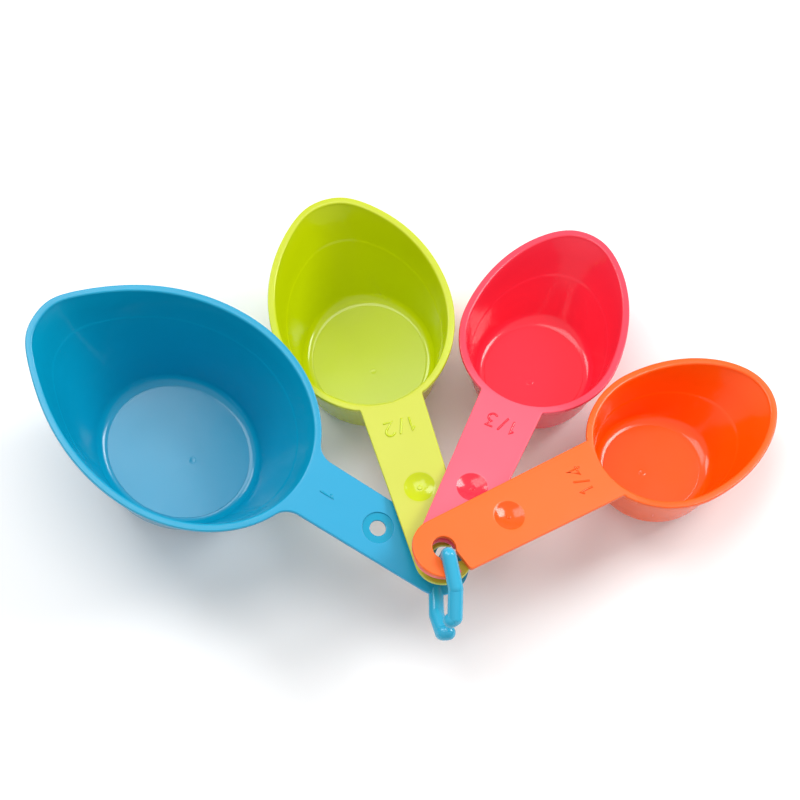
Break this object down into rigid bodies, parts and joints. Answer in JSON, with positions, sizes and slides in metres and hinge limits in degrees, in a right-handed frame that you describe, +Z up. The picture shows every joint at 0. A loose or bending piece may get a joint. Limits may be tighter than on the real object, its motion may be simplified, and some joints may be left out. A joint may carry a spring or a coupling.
{
  "type": "measuring cup set",
  "caption": "Nested-size plastic measuring cups with egg-shaped pouring bowls and flat slotted handles, fanned out on one snap ring.",
  "frame": {"origin": "on the table, under the middle of the whole set", "axes": "+X to the right of the fan as seen from the clasp, +Y from the ring toward the bowls, +Z up"},
  "size_m": [0.2854, 0.1834, 0.0683],
  "materials": {
    "one_cup": "blue, semi-gloss",
    "half_cup": "lime green, semi-gloss",
    "third_cup": "pink red, semi-gloss",
    "quarter_cup": "orange, semi-gloss",
    "snap_ring": "blue, gloss"
  },
  "bodies": {
    "one_cup": {"one_cup": "one_cup"},
    "half_cup": {"half_cup": "half_cup"},
    "third_cup": {"third_cup": "third_cup"},
    "quarter_cup": {"quarter_cup": "quarter_cup"},
    "snap_ring": {"snap_ring": "snap_ring"}
  },
  "joints": [
    {"name": "half_cup_swivel", "type": "hinge", "parent": "one_cup", "child": "half_cup", "pos_m": [0.01289, -0.05979, 0.046], "axis": [0, 0, -1], "range_deg": [0, 22]},
    {"name": "third_cup_swivel", "type": "hinge", "parent": "half_cup", "child": "third_cup", "pos_m": [0.01289, -0.05979, 0.052], "axis": [0, 0, -1], "range_deg": [0, 22]},
    {"name": "quarter_cup_swivel", "type": "hinge", "parent": "third_cup", "child": "quarter_cup", "pos_m": [0.01289, -0.05979, 0.058], "axis": [0, 0, -1], "range_deg": [0, 22]},
    {"name": "ring_swivel", "type": "hinge", "parent": "third_cup", "child": "snap_ring", "pos_m": [0.01289, -0.05979, 0.0472], "axis": [0, 0, -1], "range_deg": [-6, 4]}
  ]
}
